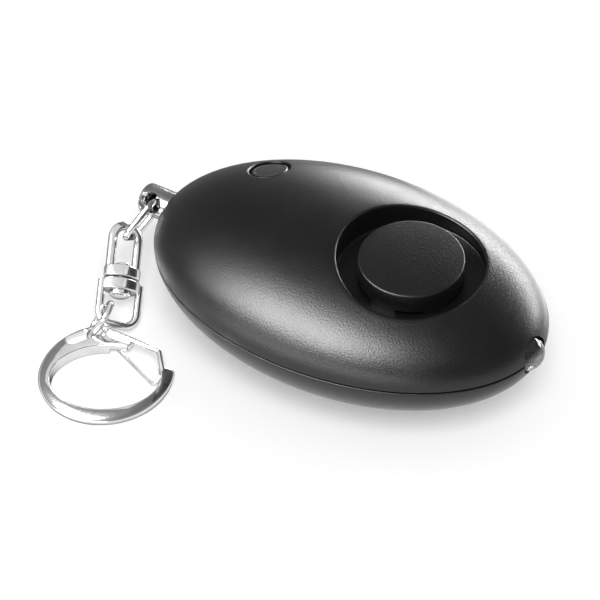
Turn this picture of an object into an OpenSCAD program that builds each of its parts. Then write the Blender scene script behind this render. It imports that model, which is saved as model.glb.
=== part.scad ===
// Personal safety alarm: egg-shaped case with siren, torch, pull pin and key chain

/* [Case] */
// Length of the case over the nose and tail
case_l = 70; // [60:1:84]
// Width of the case
case_w = 43.6; // [40:0.2:52]
// Height of the upper half above the seam
top_h = 12.2; // [11:0.1:16]
// Depth of the lower half before the foot is cut flat
bottom_h = 14.3; // [13.5:0.1:18]
// How much the flat foot takes off the lower half
foot_cut = 0.7; // [0.3:0.05:0.9]
// Wall of both halves
wall = 1.8; // [1.5:0.1:2.2]
// Open shadow line between the halves
seam_gap = 0.3; // [0.15:0.05:0.5]
// Height of the lip that locates the halves
lip_h = 1.4; // [1:0.1:2]
// Thickness of the lip
lip_t = 0.8; // [0.6:0.05:0.9]
// Gap beside the lip
lip_clear = 0.1; // [0.05:0.01:0.2]

/* [Siren] */
// Place of the siren along the case
siren_x = 12.6; // [10:0.1:15]
// Lean of the siren towards the nose
siren_tilt = 4; // [0:0.5:6]
// Radius of the cap
cap_r = 8.4; // [7:0.05:9.5]
// Radius of the cap's rounded edge
cap_edge = 0.5; // [0.2:0.05:0.8]
// Width of each sound slot at the cap's foot
sound_w = 4.4; // [3:0.1:5]
// Height of the sound slots
sound_h = 0.9; // [0.6:0.1:1.8]
// Height of the cap's face above the seam
cap_top = 10.8; // [10.4:0.1:11.4]
// Radius of the well round the cap
well_r = 12.05; // [11:0.05:13]
// Depth of the well below the cap's face
well_depth = 4.6; // [3.5:0.1:5]
// Thickness of the well's floor
well_floor = 1.2; // [0.8:0.1:1.6]
// Wall of the well below the skin
well_wall = 1.1; // [0.8:0.1:1.5]
// Radius of the sound port under the cap
port_r = 5; // [4:0.1:6]
// Radius of the sounder's brass disc
piezo_r = 10; // [9:0.1:10.4]
// Height of the air chamber over the disc
chamber_h = 0.9; // [0.5:0.1:1.2]

/* [Torch] */
// Place of the button along the case
button_x = -19.8; // [-22:0.1:-18]
// Place of the button off the centre line
button_y = 8.15; // [6:0.05:9]
// Radius of the button
button_r = 3.5; // [3:0.05:4]
// Open ring round the button's head
button_gap = 0.35; // [0.3:0.05:0.5]
// Radial clearance of the button in its guide
button_fit = 0.08; // [0.04:0.01:0.1]
// Travel of the button
button_travel = 0.5; // [0.3:0.05:0.7]
// Radius of the lamp
led_r = 2.5; // [2:0.05:2.8]
// Open ring round the lamp
led_gap = 0.3; // [0.3:0.02:0.4]
// How far the lamp's dome centre lies inside the tip
led_set = 1.4; // [0.4:0.1:1.8]

/* [Pull pin] */
// Radius of the pin
pin_r = 2.65; // [2.2:0.05:3]
// Radial clearance of the pin in its socket
pin_fit = 0.05; // [0.02:0.01:0.1]
// How far the pin stands out of the tail
pin_out = 4.9; // [4.5:0.1:7]
// Cross hole's distance from the pin's outer end
hole_set = 2.33; // [2.1:0.01:2.6]
// Radius of the cross hole
hole_r = 1.35; // [1.3:0.05:1.5]
// Lean of the cross hole above level
hole_lean = 35; // [25:1:45]
// Radius of the pin's inner tip
tip_r = 1.5; // [1.2:0.05:1.8]
// Length of the pin inside the case
pin_in = 10.8; // [9.5:0.1:11.2]

/* [Chain] */
// Wire radius of the two links
link_wire = 0.55; // [0.45:0.01:0.6]
// Length of a link between its end bars
link_l = 7.6; // [7.2:0.1:9]
// Half the width of a link between its side bars
link_w = 3.4; // [3.35:0.05:3.8]
// Corner radius of a link
link_corner = 1.5; // [1.2:0.1:1.7]
// Length of the small link between its end bars
link_2_l = 7; // [6.6:0.1:7.4]
// Half the width of the small link between its side bars
link_2_w = 1.9; // [1.8:0.05:2.1]
// Wire radius of the upper shackle
upper_wire = 0.75; // [0.6:0.05:0.85]
// Half the width of the upper shackle
upper_w = 2.25; // [2.1:0.05:2.6]
// Length of the upper shackle down to its plate
upper_l = 7.3; // [6.5:0.1:8]
// Wire radius of the lower shackle
lower_wire = 0.65; // [0.5:0.05:0.75]
// Half the width of the lower shackle
lower_w = 3.3; // [3.1:0.05:3.6]
// Length of the lower shackle below its plate
lower_l = 5.7; // [5.4:0.1:6]
// Corner radius of the lower shackle
lower_corner = 2.2; // [1.6:0.1:2.6]
// Thickness of the two swivel plates
plate_t = 1.95; // [1.4:0.05:2.2]
// Gap between the swivel plates
plate_gap = 0.3; // [0.1:0.05:0.5]
// Radius of the rivet's shank
rivet_r = 0.9; // [0.7:0.05:1.1]
// Radial clearance of the rivet
rivet_fit = 0.06; // [0.02:0.01:0.1]
// Outer radius of the key ring
ring_r = 11.2; // [10.8:0.1:12]
// Thickness of the key ring
ring_t = 2.4; // [2.2:0.05:2.8]
// Long half size of the key ring's opening
open_a = 9; // [8.6:0.1:9.3]
// Short half size of the key ring's opening
open_b = 7.2; // [6.8:0.1:7.4]
// Distance of the slot eye from the ring's centre
slot_set = 9; // [8.8:0.05:9.2]
// Half the width of the slot eye
slot_r = 1.35; // [1.2:0.05:1.5]
// Half the straight length of the slot eye
slot_l = 2; // [1.8:0.1:2.2]
// Wire radius of the gate
gate_wire_r = 0.42; // [0.35:0.01:0.45]

/* [Power] */
// Radius of a coin cell
cell_r = 10; // [9.5:0.1:10]
// Thickness of a coin cell
cell_t = 3.2; // [2.5:0.1:3.2]
// Half the width of the battery cover
cover_w = 12; // [12:0.1:12.6]
// Half the straight length of the battery cover
cover_l = 6; // [5:0.1:7]
// Gap round the battery cover
cover_gap = 0.15; // [0.1:0.01:0.25]
// Width of the ledge under the battery cover
ledge = 1.3; // [1:0.1:1.4]
// Shank radius of all screws
screw_r = 0.95; // [0.8:0.05:1.1]

/* [Hidden] */
$fn = 16;
half_l = case_l / 2;
half_w = case_w / 2;
split_z = bottom_h - foot_cut;
top_of_board = split_z - 0.6;
board_t = 1.2;
lamp_x = half_l - led_set;
lamp_back = lamp_x - 4.4;
tail_x = -half_l;
pin_end = tail_x - pin_out;
hole_x = pin_end + hole_set;
tip_end = tail_x + pin_in;
leaf_x = tip_end + 6.2;
leaf_tip = leaf_x - 8;
cell_z = split_z - 10.1;
cell_top = cell_z + 2 * cell_t;
screw_front = [case_l * 0.357, case_w * 0.1835];
screw_rear = [-case_l * 0.186, case_w * 0.321];
head_seat = split_z - 5.6;
cover_screw_x = cover_l + cover_w - 4;
far = 60;

// Link 1 leans in the loose cross hole, its bar along bar_1 and its length along way_1
hole_axis = [0, -cos(hole_lean), sin(hole_lean)];
bar_1 = [0.2719, -0.6948, 0.6658];
way_1 = [-0.3196, -0.7178, -0.6186];
hole_mid = [hole_x, 0, split_z];
link_1_low = hole_mid + way_1 * link_l;

// Swivel: its axis, its cross direction and the top of the upper shackle
swivel_slope = 28;
swivel_turn = -63.8;
swivel_roll = 31;
swivel_way = [cos(swivel_slope) * cos(swivel_turn), cos(swivel_slope) * sin(swivel_turn), -sin(swivel_slope)];
level_way = [-sin(swivel_turn), cos(swivel_turn), 0];
swivel_side = level_way * cos(swivel_roll) - cross(swivel_way, level_way) * sin(swivel_roll);
hang = 1.4;
shackle_top = hole_mid + way_1 * (link_l - link_wire - upper_wire - 0.1) - swivel_side * hang
    - swivel_way * (upper_w - sqrt(upper_w * upper_w - hang * hang));
plate_1 = upper_l;
plate_2 = plate_1 + plate_t + plate_gap;
swivel_end = plate_2 + plate_t + lower_l;

// Key ring on the ground, and link 2 from its slot eye up through the lower shackle
slot_turn = 150;
slot_way = [cos(slot_turn), sin(slot_turn), 0];
slot_along = [sin(slot_turn), -cos(slot_turn), 0];
bar_2 = [0.342, -0.94, 0];
way_2 = [0.512, 0.186, 0.839];
corner_in = lower_corner * (1 - cos(45));
hook_point = shackle_top + swivel_way * (swivel_end - corner_in) - swivel_side * (lower_w - corner_in);
eye_z = link_wire + 0.1;
link_2_low = hook_point - way_2 * (hook_point[2] - eye_z) / way_2[2];
in_eye = link_2_low + bar_2 * link_2_w + way_2 * (ring_t / 2 - eye_z) / way_2[2] - slot_along * 0.9;
ring_mid = [in_eye[0] - slot_way[0] * slot_set, in_eye[1] - slot_way[1] * slot_set, 0];
open_turn = 24;
open_at = [0.91, -1.57, 0];
pivot_at = [-4.5, 6.9, 0];
gate_top = ring_t + gate_wire_r + 0.03;
gate_low = gate_wire_r + 0.05;
relief = 2 * gate_wire_r + 0.12;
gate_a = [5.6, 7.1, gate_top];
gate_b = [8.55, 4.0, ring_t * 0.8];
gate_c = [8.05, 2.2, gate_low];

// Egg half sizes less an inset, whole ellipsoid round the seam's middle
module egg(h, inset) {
    translate([0, 0, split_z])
        scale([half_l - inset, half_w - inset, h - inset])
            sphere(1, $fn = 22);
}

// Everything above a level
module above(z) {
    translate([-far, -far, z])
        cube([2 * far, 2 * far, far]);
}

// Oval plate following the case's outline
module oval(inset, z, h) {
    translate([0, 0, z])
        linear_extrude(h)
            scale([half_l - inset, half_w - inset])
                circle(1, $fn = 32);
}

// Frame of the siren, its origin in the middle of the cap's face
module at_siren() {
    translate([siren_x, 0, split_z + cap_top])
        rotate([0, siren_tilt, 0])
            children();
}

// Lying rod along the case
module rod(x0, x1, r) {
    translate([x0, 0, split_z])
        rotate([0, 90, 0])
            cylinder(h = x1 - x0, r = r);
}

// Round post
module post(at, z0, z1, r) {
    translate([at[0], at[1], z0])
        cylinder(h = z1 - z0, r = r);
}

// The four screw places
module at_screws() {
    for (s = [-1, 1]) {
        translate([screw_front[0], s * screw_front[1], 0])
            children();
        translate([screw_rear[0], s * screw_rear[1], 0])
            children();
    }
}

// Rounded outline of the battery cover
module cover_shape(inset, z0, z1) {
    for (s = [-1, 1])
        translate([s * cover_l, 0, z0])
            cylinder(h = z1 - z0, r = cover_w - inset);
    translate([-cover_l, -(cover_w - inset), z0])
        cube([2 * cover_l, 2 * (cover_w - inset), z1 - z0]);
}

// Sets x along a, y along b
module along(o, a, b) {
    u = a / norm(a);
    w = cross(u, b) / norm(cross(u, b));
    v = cross(w, u);
    multmatrix([[u[0], v[0], w[0], o[0]], [u[1], v[1], w[1], o[1]], [u[2], v[2], w[2], o[2]], [0, 0, 0, 1]])
        children();
}

// Straight round bar between two points
module bar(p, q, r) {
    d = q - p;
    l = norm(d);
    side = abs(d[2]) / l > 0.9 ? [1, 0, 0] : [0, 0, 1];
    along(p, d, side)
        rotate([0, 90, 0])
            cylinder(h = l, r = r, $fn = 14);
}

// Quarter bend of round wire in the x-y plane
module bend(at, turn, r, wire) {
    translate([at[0], at[1], 0])
        rotate([0, 0, turn])
            rotate_extrude(angle = 90, $fn = 16)
                translate([r, 0])
                    circle(wire, $fn = 14);
}

// Closed chain link: end bars at x = 0 and x = l
module link(l, w) {
    c = link_corner;
    bar([c, w, 0], [l - c, w, 0], link_wire);
    bar([c, -w, 0], [l - c, -w, 0], link_wire);
    bar([0, c - w, 0], [0, w - c, 0], link_wire);
    bar([l, c - w, 0], [l, w - c, 0], link_wire);
    bend([l - c, w - c], 0, c, link_wire);
    bend([c, w - c], 90, c, link_wire);
    bend([c, c - w], 180, c, link_wire);
    bend([l - c, c - w], 270, c, link_wire);
}

// Swivel plate across x, oval with rounded faces, with a hole for the rivet
module swivel_plate(x, half, depth, hole) {
    difference() {
        translate([x, 0, 0])
            rotate([0, 90, 0])
                scale([depth / half, 1, 1])
                    cylinder(h = plate_t, r = half, $fn = 24);
        translate([x - 1, 0, 0])
            rotate([0, 90, 0])
                cylinder(h = plate_t + 2, r = hole);
    }
}

module top_shell() {
    color("#26272a")
    difference() {
        intersection() {
            egg(top_h, 0);
            above(split_z + seam_gap);
        }
        difference() {
            egg(top_h, wall);
            at_siren()
                translate([0, 0, -well_depth - well_floor])
                    cylinder(h = far, r = well_r + well_wall);
            at_siren()
                translate([0, 0, -well_depth - well_floor - chamber_h - 1.4])
                    difference() {
                        cylinder(h = 4, r = piezo_r + 1.3);
                        translate([0, 0, -1])
                            cylinder(h = 4 - 0.9, r = piezo_r + 0.15);
                    }
            post([button_x, button_y], split_z + 4.4, split_z + far, button_r + button_gap + 1);
            at_screws()
                post([0, 0], split_z + seam_gap, split_z + far, 2.5);
            rod(lamp_back + 0.1, far, led_r + led_gap + 1.1);
            rod(-far, tail_x + 6.5, pin_r + pin_fit + 1.2);
        }
        oval(wall - lip_t - lip_clear, split_z - 1, lip_h + 1);
        at_siren()
            translate([0, 0, -well_depth])
                cylinder(h = far, r = well_r, $fn = 32);
        at_siren()
            translate([0, 0, -well_depth - well_floor - 0.05])
                cylinder(h = far, r = port_r);
        at_siren()
            translate([0, 0, -well_depth - well_floor - chamber_h])
                cylinder(h = chamber_h + 0.01, r = piezo_r - 1.2);
        post([button_x, button_y], split_z, split_z + far, button_r + button_fit);
        post([button_x, button_y], split_z + 7, split_z + far, button_r + button_gap);
        at_screws()
            post([0, 0], split_z - 1, split_z + 5, screw_r + 0.05);
        rod(lamp_back - 2, far, led_r + led_gap);
        rod(-far, tail_x + 7, pin_r + pin_fit);
    }
}

module bottom_shell() {
    color("#242527")
    difference() {
        union() {
            difference() {
                egg(bottom_h, 0);
                above(split_z);
            }
            difference() {
                oval(wall - lip_t, split_z - 0.6, lip_h + 0.6);
                oval(wall - 0.05, split_z - 2, lip_h + 4);
            }
        }
        translate([-far, -far, -far])
            cube([2 * far, 2 * far, far]);
        difference() {
            egg(bottom_h, wall);
            at_screws()
                post([0, 0], -1, split_z, 2.8);
            difference() {
                post([0, 0], -1, cell_top + 0.5, cell_r + 1.35);
                post([0, 0], -2, far, cell_r + 0.35);
            }
            translate([cell_r + 0.9, -0.6, -1])
                cube([12, 1.2, cell_z + 5.5]);
            post([cover_screw_x, 0], -1, cell_z + 5, 2.3);
            post([-case_l * 0.26, -case_w * 0.16], -1, top_of_board - board_t, 1.5);
            post([-case_l * 0.26, case_w * 0.16], -1, top_of_board - board_t, 1.5);
            post([case_l * 0.29, 0], -1, top_of_board - board_t, 1.5);
            rod(lamp_back + 0.1, far, led_r + led_gap + 1.1);
            rod(-far, tail_x + 6.5, pin_r + pin_fit + 1.2);
        }
        difference() {
            cover_shape(0, -2, cell_z - 0.15);
            egg(bottom_h, 0.95);
        }
        cover_shape(ledge, -2, cell_z - 0.15);
        post([0, 0], -2, cell_top, cell_r + 0.35);
        post([cover_screw_x, 0], -1, cell_z + 4.4, screw_r + 0.05);
        translate([-3, -cell_r - 2.5, cell_z + 0.2])
            cube([6, 2.5, far]);
        at_screws() {
            post([0, 0], -1, head_seat, 2.2);
            post([0, 0], -1, far, screw_r + 0.2);
        }
        rod(lamp_back - 2, far, led_r + led_gap);
        rod(-far, tail_x + 7, pin_r + pin_fit);
    }
}

module battery_cover() {
    z_pad = cell_z - 0.3;
    color("#232426")
    difference() {
        union() {
            difference() {
                intersection() {
                    egg(bottom_h, 0);
                    cover_shape(cover_gap, 0, z_pad - 0.6);
                }
                difference() {
                    egg(bottom_h, 0.9);
                    cover_shape(ledge + cover_gap, -1, z_pad);
                }
                egg(bottom_h, wall);
            }
            intersection() {
                post([cover_screw_x, 0], 0, z_pad, 3.9 - ledge - cover_gap);
                egg(bottom_h, 0.3);
            }
            translate([-cover_l - cover_w + ledge + cover_gap + 0.6, -3, split_z - bottom_h + 2.2])
                cube([1.6, 6, 2.9]);
            translate([-cover_l - cover_w - 1.2, -3, split_z - bottom_h + 4.4])
                cube([ledge + 3.4, 6, 0.7]);
        }
        post([cover_screw_x, 0], -2, z_pad - 1.3, 2.1);
        post([cover_screw_x, 0], -2, far, screw_r + 0.2);
    }
}

// Pan-head screw standing on its head's seat
module screw(seat, l) {
    difference() {
        union() {
            post([0, 0], seat - 1.1, seat, 1.85);
            post([0, 0], seat - 0.2, seat + l, screw_r);
        }
        for (q = [0, 90])
            rotate([0, 0, q])
                translate([-1.2, -0.25, seat - 2])
                    cube([2.4, 0.5, 1.6]);
    }
}

module cover_screw() {
    color("#b9bbc0")
    translate([cover_screw_x, 0, 0])
        screw(cell_z - 1.6, 5);
}

module case_screws() {
    color("#b9bbc0")
    at_screws()
        screw(head_seat, split_z - head_seat + 4);
}

module siren_cap() {
    color("#2a2b2e")
    at_siren()
    difference() {
        union() {
            rotate_extrude($fn = 28) {
                translate([0, -well_depth])
                    square([cap_r, well_depth - cap_edge]);
                translate([0, -cap_edge - 0.1])
                    square([cap_r - cap_edge, cap_edge + 0.1]);
                translate([cap_r - cap_edge, -cap_edge])
                    circle(cap_edge);
            }
        }
        translate([0, 0, -well_depth - 1])
            cylinder(h = well_depth - 0.4, r = cap_r - 1.4);
        for (k = [0:5])
            rotate([0, 0, 60 * k])
                translate([cap_r - 3, -sound_w / 2, -well_depth - 1])
                    cube([5, sound_w, sound_h + 1]);
    }
}

module sounder_seat() {
    z = -well_depth - well_floor - chamber_h;
    color("#1b1b1c")
    at_siren()
    translate([0, 0, z - 1.25])
    difference() {
        cylinder(h = 0.9, r = piezo_r + 0.1);
        translate([0, 0, -1])
            cylinder(h = 3, r = piezo_r - 1.8);
    }
}

module piezo_plate() {
    color("#c9a24a")
    at_siren()
    translate([0, 0, -well_depth - well_floor - chamber_h - 0.3])
        cylinder(h = 0.25, r = piezo_r);
}

module piezo_ceramic() {
    color("#e9e6dc")
    at_siren()
    translate([0, 0, -well_depth - well_floor - chamber_h - 0.55])
        cylinder(h = 0.25, r = piezo_r * 0.7);
}

module sounder_wires() {
    color("#b02a25")
    for (s = [-1, 1])
        at_siren()
        translate([s > 0 ? 2 : -4, s * 2, -well_depth - well_floor - chamber_h - 0.55])
            rotate([0, -siren_tilt, 0])
                translate([0, 0, top_of_board - split_z - cap_top + well_depth + well_floor + chamber_h + 0.75])
                    cylinder(h = split_z - top_of_board + cap_top - well_depth - well_floor - chamber_h - 0.95, r = 0.4,
                        $fn = 16);
}

module circuit_board() {
    color("#1f5a38")
    difference() {
        translate([0, 0, top_of_board - board_t])
            linear_extrude(board_t)
                scale([half_l - 7, half_w - 4.3])
                    circle(1, $fn = 32);
        at_screws()
            post([0, 0], 0, far, 3.2);
        translate([-far, -3.6, 0])
            cube([far + tip_end + 0.8, 7.2, far]);
    }
}

module driver_chip() {
    color("#1c1c1e")
    translate([-8, -7.5, top_of_board])
        cube([5, 4, 1.5]);
}

module drive_transistor() {
    color("#1d1d1f")
    translate([-2, 8, top_of_board])
        cube([2.9, 1.6, 1.1]);
}

module coil_core() {
    color("#3a3a3c")
    translate([-9.5, 6.5, top_of_board]) {
        cylinder(h = 0.9, r = 2.6);
        cylinder(h = 4.6, r = 1.2);
        translate([0, 0, 3.7])
            cylinder(h = 0.9, r = 2.6);
    }
}

module coil_winding() {
    color("#b8692e")
    translate([-9.5, 6.5, top_of_board + 1])
        difference() {
            cylinder(h = 2.6, r = 2.3);
            translate([0, 0, -1])
                cylinder(h = 5, r = 1.25);
        }
}

module torch_button() {
    color("#2b2c2f")
    intersection() {
        union() {
            post([button_x, button_y], split_z + 3.8, split_z + top_h, button_r);
            post([button_x, button_y], split_z + 3.5, split_z + 4.3, button_r + 0.9);
            post([button_x, button_y], split_z + 3.05, split_z + 4, 1.4);
        }
        egg(top_h, 0.15);
    }
}

module push_switch() {
    color("#2f3033")
    difference() {
        translate([button_x - 3, button_y - 3, top_of_board])
            cube([6, 6, split_z + 2.2 - top_of_board]);
        post([button_x, button_y], split_z + 1.3 - button_travel, far, 1.75);
    }
}

module switch_plunger() {
    color("#55575b")
    post([button_x, button_y], split_z + 1.5, split_z + 3, 1.67);
}

module led_lens() {
    color("#dfe6ea")
    union() {
        translate([lamp_back, 0, split_z])
            rotate([0, 90, 0])
                rotate_extrude($fn = 28) {
                    square([led_r, lamp_x - lamp_back]);
                    intersection() {
                        translate([0, lamp_x - lamp_back])
                            circle(led_r);
                        square([led_r, 20]);
                    }
                }
        rod(lamp_back - 1, lamp_back, led_r + 0.4);
    }
}

module led_frame() {
    color("#c4c6ca")
    for (s = [-1, 1]) {
        bar([lamp_back - 1.05, s * 1.27, split_z - 0.2], [half_l - 10.5, s * 1.27, split_z - 0.2], 0.25);
        bar([half_l - 10.5, s * 1.27, split_z - 0.2], [half_l - 10.5, s * 1.27, top_of_board], 0.25);
    }
}

// Coin cell with its small face up
module coin_cell(z) {
    post([0, 0], z, z + cell_t - 0.25, cell_r);
    post([0, 0], z + cell_t - 0.3, z + cell_t - 0.02, cell_r - 1.2);
}

module coin_cell_lower() {
    color("#c3c5c8")
    coin_cell(cell_z);
}

module coin_cell_upper() {
    color("#c3c5c8")
    coin_cell(cell_z + cell_t);
}

module negative_spring() {
    z = top_of_board - board_t;
    color("#cdb878")
    union() {
        translate([-5, -2, z - 0.3])
            cube([4, 4, 0.3]);
        bar([-2, 0, z - 0.15], [3.5, 0, cell_top + 0.2], 0.2);
        bar([3.5, 0, cell_top + 0.2], [5, 0, cell_top + 0.6], 0.2);
        translate([3.5, 0, cell_top + 0.22])
            sphere(0.21, $fn = 16);
    }
}

module positive_clip() {
    z = top_of_board - board_t;
    color("#cdb878")
    union() {
        translate([-2, -cell_r - 0.9, cell_z + 0.6])
            cube([4, 0.3, z - cell_z - 0.6]);
        translate([-2, -cell_r - 0.9, z - 0.3])
            cube([4, 2.5, 0.3]);
        translate([-1, -cell_r - 0.7, cell_z + 1])
            cube([2, 0.6, 1]);
    }
}

module pull_pin() {
    l = tip_end - pin_end;
    shoulder = l - 4.6;
    color("#d6d8db")
    difference() {
        translate([pin_end, 0, split_z])
            rotate([0, 90, 0])
                rotate_extrude($fn = 24) {
                    translate([0, 0.5])
                        square([pin_r, shoulder - 0.5]);
                    square([pin_r - 0.5, 0.6]);
                    translate([pin_r - 0.5, 0.5])
                        circle(0.5);
                    polygon([[0, shoulder - 0.1], [pin_r, shoulder - 0.1], [pin_r, shoulder], [tip_r, shoulder + 1.2],
                        [tip_r, l - 0.9], [tip_r * 0.5, l], [0, l]]);
                }
        along(hole_mid, hole_axis, [1, 0, 0])
            rotate([0, 90, 0]) {
                translate([0, 0, -5])
                    cylinder(h = 10, r = hole_r);
                translate([0, 0, pin_r - 1.1])
                    cylinder(h = 1.5, r1 = hole_r, r2 = hole_r + 1);
                translate([0, 0, -pin_r - 0.4])
                    cylinder(h = 1.5, r1 = hole_r + 1, r2 = hole_r);
            }
    }
}

module contact_block() {
    color("#e4e0d2")
    translate([leaf_x + 0.15, -0.6, top_of_board])
        cube([3.4, 4.2, 2.6]);
}

module fixed_contact() {
    color("#cdb878")
    union() {
        translate([leaf_x - 3.9, tip_r - 0.9, top_of_board])
            cube([0.8, 0.63, 2.2]);
        translate([leaf_x - 3.9, tip_r - 0.9, top_of_board])
            cube([4.05, 0.5, 0.4]);
    }
}

module moving_contact() {
    color("#cdb878")
    union() {
        translate([leaf_tip, tip_r + 0.06, split_z - 0.4])
            cube([8, 0.2, 2]);
        post([leaf_x, tip_r + 0.16], split_z - 0.4, split_z + 1.6, 0.12);
    }
}

module link_1() {
    color("#d2d4d8")
    along(hole_mid, way_1, bar_1)
        link(link_l, link_w);
}

module upper_shackle() {
    w = upper_w;
    color("#d2d4d8")
    along(shackle_top, swivel_way, swivel_side) {
        bend([w, 0], 90, w, upper_wire);
        bend([w, 0], 180, w, upper_wire);
        bar([w, w, 0], [plate_1 + 0.4, w, 0], upper_wire);
        bar([w, -w, 0], [plate_1 + 0.4, -w, 0], upper_wire);
        swivel_plate(plate_1, upper_w + upper_wire + 0.12, 2.1, rivet_r + rivet_fit);
    }
}

module swivel_rivet() {
    color("#d2d4d8")
    along(shackle_top, swivel_way, swivel_side)
        rotate([0, 90, 0])
            rotate_extrude($fn = 24) {
                translate([0, plate_1 - 0.05])
                    square([rivet_r, plate_2 + plate_t - plate_1 + 0.1]);
                translate([0, plate_1 - 0.75])
                    square([1.25, 0.7]);
                translate([0, plate_2 + plate_t + 0.05])
                    square([1.75, 0.45]);
                polygon([[0, plate_2 + plate_t + 0.5], [1.75, plate_2 + plate_t + 0.5], [1.5, plate_2 + plate_t + 0.85],
                    [0.9, plate_2 + plate_t + 1.1], [0, plate_2 + plate_t + 1.15]]);
            }
}

module lower_shackle() {
    w = lower_w;
    c = lower_corner;
    e = swivel_end;
    color("#d2d4d8")
    along(shackle_top, swivel_way, swivel_side) {
        bend([e - c, w - c], 0, c, lower_wire);
        bend([e - c, c - w], 270, c, lower_wire);
        bar([e, c - w, 0], [e, w - c, 0], lower_wire);
        bar([plate_2 + 0.4, w, 0], [e - c, w, 0], lower_wire);
        bar([plate_2 + 0.4, -w, 0], [e - c, -w, 0], lower_wire);
        swivel_plate(plate_2, lower_w, 2.2, rivet_r + rivet_fit);
    }
}

module link_2() {
    color("#d2d4d8")
    along(link_2_low, way_2, bar_2)
        link(link_2_l, link_2_w);
}

module key_ring() {
    h = ring_t / 2;
    color("#d8dadd")
    translate(ring_mid)
    difference() {
        union() {
            difference() {
                rotate_extrude($fn = 32) {
                    square([ring_r - h, ring_t]);
                    translate([ring_r - h, h])
                        circle(h, $fn = 14);
                }
                difference() {
                    rotate([0, 0, slot_turn])
                        translate([0, -far, -1])
                            cube([far, far - slot_l, ring_t + 2]);
                    translate([-far, -far, -2])
                        cube([2 * far, far + pivot_at[1] + 0.75, ring_t + 4]);
                }
            }
            translate(slot_way * slot_set + slot_along * slot_l)
                cylinder(h = ring_t, r = slot_r + 0.8);
            translate([pivot_at[0], pivot_at[1], 0])
                cylinder(h = ring_t, r = 1.05);
        }
        translate(open_at + [0, 0, -1])
            rotate([0, 0, open_turn])
                scale([open_a, open_b, 1])
                    cylinder(h = ring_t + 2, r = 1, $fn = 32);
        linear_extrude(3 * ring_t, center = true)
            polygon([[0.4, 0], [2, 1.2], [30, 19.2], [30, 30], [0.4, 30]]);
        for (s = [-1, 1])
            translate(slot_way * slot_set + slot_along * slot_l * s + [0, 0, -1])
                cylinder(h = ring_t + 2, r = slot_r);
        translate(slot_way * slot_set + [0, 0, -1])
            rotate([0, 0, slot_turn])
                translate([-slot_r, -slot_l, 0])
                    cube([2 * slot_r, 2 * slot_l, ring_t + 2]);
        rotate([0, 0, slot_turn])
            translate([slot_set, -slot_l - 1.6, -1])
                cube([far, 2 * slot_l + 2.2, 1 + 2 * link_wire + 0.25]);
        translate([pivot_at[0], pivot_at[1], -1])
            cylinder(h = ring_t + 2, r = gate_wire_r + 0.06);
        translate([pivot_at[0] - 0.95, 2, -1])
            cube([8, 8, 1 + relief]);
        translate([gate_b[0], gate_b[1], -1])
            rotate([0, 0, -12])
                translate([-0.65, -5, 0])
                    cube([1.3, 5.65, ring_t + 2]);
        translate([gate_b[0], gate_b[1], ring_t * 0.56])
            rotate([0, 0, -12])
                translate([-2.3, -2.4, 0])
                    cube([2.95, 5, ring_t]);
    }
}

module gate_wire() {
    p = pivot_at;
    top = [p[0], p[1], gate_top];
    low = [p[0], p[1], gate_low];
    r = gate_wire_r;
    color("#d2d4d8")
    translate(ring_mid) {
        bar([p[0], p[1], relief + 0.85], top, r);
        bar(top, gate_a, r);
        bar(gate_a, gate_b, r);
        bar(gate_b, gate_c, r);
        bar(gate_c, low, r);
        bar(low, [p[0], p[1], relief + 0.6], r);
        for (q = [top, gate_a, gate_b, gate_c, low])
            translate(q)
                sphere(r * 1.05, $fn = 13);
    }
}

top_shell();
bottom_shell();
battery_cover();
cover_screw();
case_screws();
siren_cap();
sounder_seat();
piezo_plate();
piezo_ceramic();
sounder_wires();
circuit_board();
driver_chip();
drive_transistor();
coil_core();
coil_winding();
torch_button();
push_switch();
switch_plunger();
led_lens();
led_frame();
coin_cell_lower();
coin_cell_upper();
negative_spring();
positive_clip();
pull_pin();
contact_block();
fixed_contact();
moving_contact();
link_1();
upper_shackle();
swivel_rivet();
lower_shackle();
link_2();
key_ring();
gate_wire();
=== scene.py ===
import math
import bmesh
import bpy
from mathutils import Matrix, Vector


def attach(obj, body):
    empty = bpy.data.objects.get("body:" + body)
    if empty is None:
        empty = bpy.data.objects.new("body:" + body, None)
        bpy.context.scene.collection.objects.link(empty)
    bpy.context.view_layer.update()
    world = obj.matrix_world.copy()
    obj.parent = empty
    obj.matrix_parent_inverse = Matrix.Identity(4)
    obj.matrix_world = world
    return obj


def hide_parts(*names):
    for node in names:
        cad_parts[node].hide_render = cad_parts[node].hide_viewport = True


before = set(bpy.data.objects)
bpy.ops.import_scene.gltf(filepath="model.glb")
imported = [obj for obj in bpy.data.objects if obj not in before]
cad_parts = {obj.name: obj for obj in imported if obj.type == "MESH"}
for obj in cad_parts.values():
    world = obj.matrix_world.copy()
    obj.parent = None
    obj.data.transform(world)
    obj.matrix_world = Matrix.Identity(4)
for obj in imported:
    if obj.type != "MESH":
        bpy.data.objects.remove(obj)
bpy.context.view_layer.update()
mm = 0.001  # pieces are modelled in millimetres and brought to metres at the end
print("frame loaded,", len(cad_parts), "nodes")

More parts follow.
